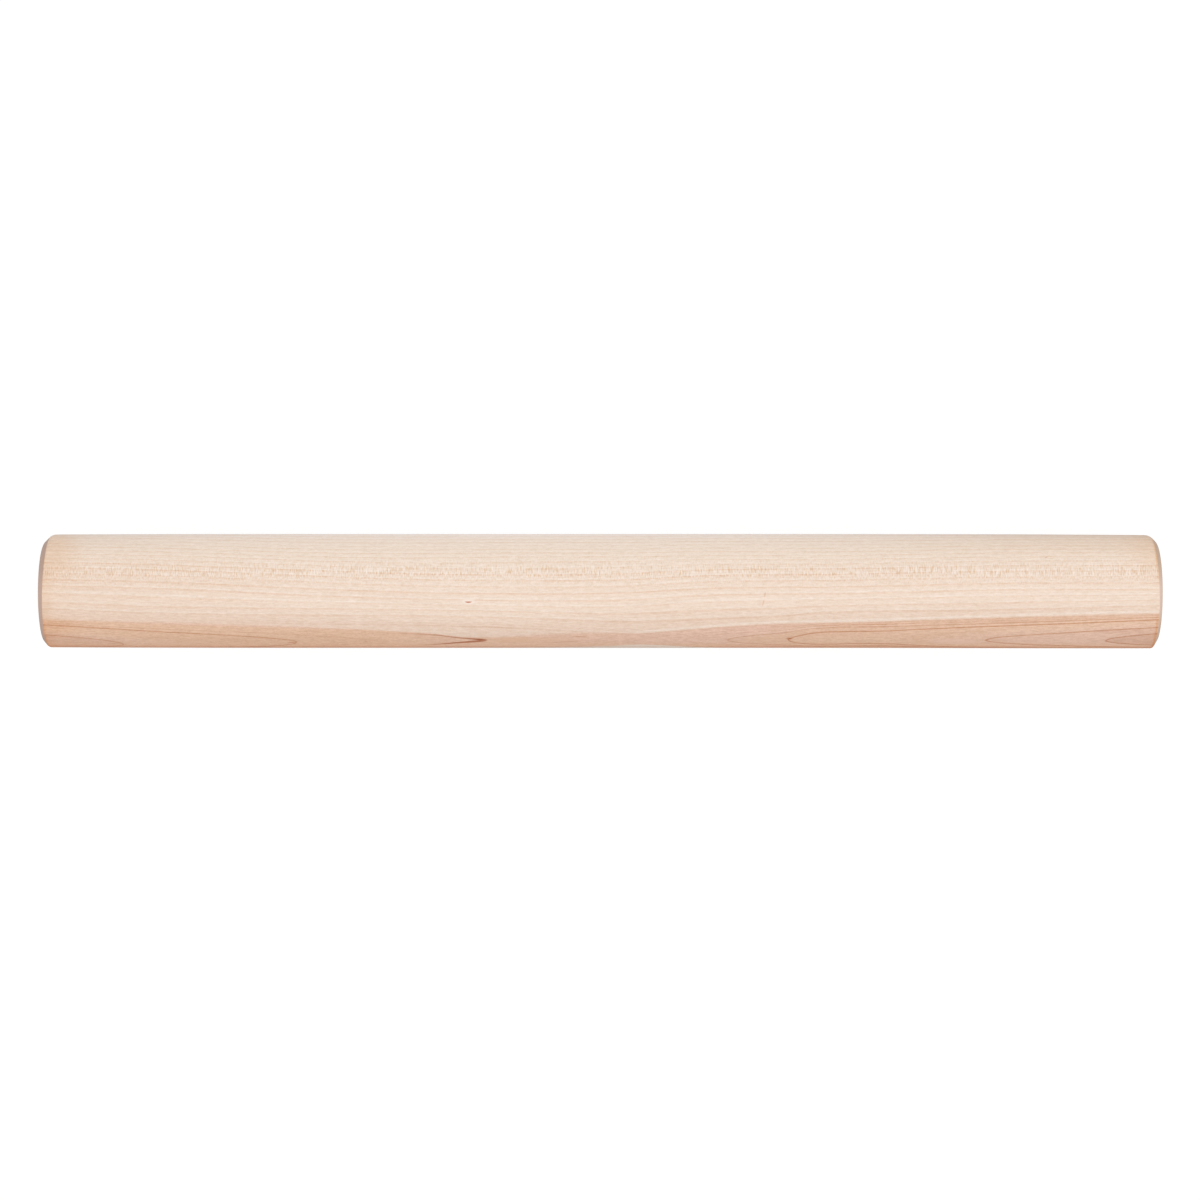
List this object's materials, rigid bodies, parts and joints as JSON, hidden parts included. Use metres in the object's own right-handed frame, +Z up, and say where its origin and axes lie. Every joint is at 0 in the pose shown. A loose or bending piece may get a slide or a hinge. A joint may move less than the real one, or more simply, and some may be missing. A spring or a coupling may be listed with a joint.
{
  "type": "rolling pin",
  "caption": "Straight dowel rolling pin turned from solid maple, with eased ends and no handles, rolled under the palms to flatten dough.",
  "frame": {"origin": "middle of the line along the underside on which the pin rests on the work surface", "axes": "+X along the pin, +Z straight up from the work surface through the pin's axis, +Y level across the pin"},
  "size_m": [0.4952, 0.0508, 0.0508],
  "materials": {
    "maple": "sanded and oiled"
  },
  "bodies": {
    "root": {"dowel": "maple"}
  },
  "joints": []
}
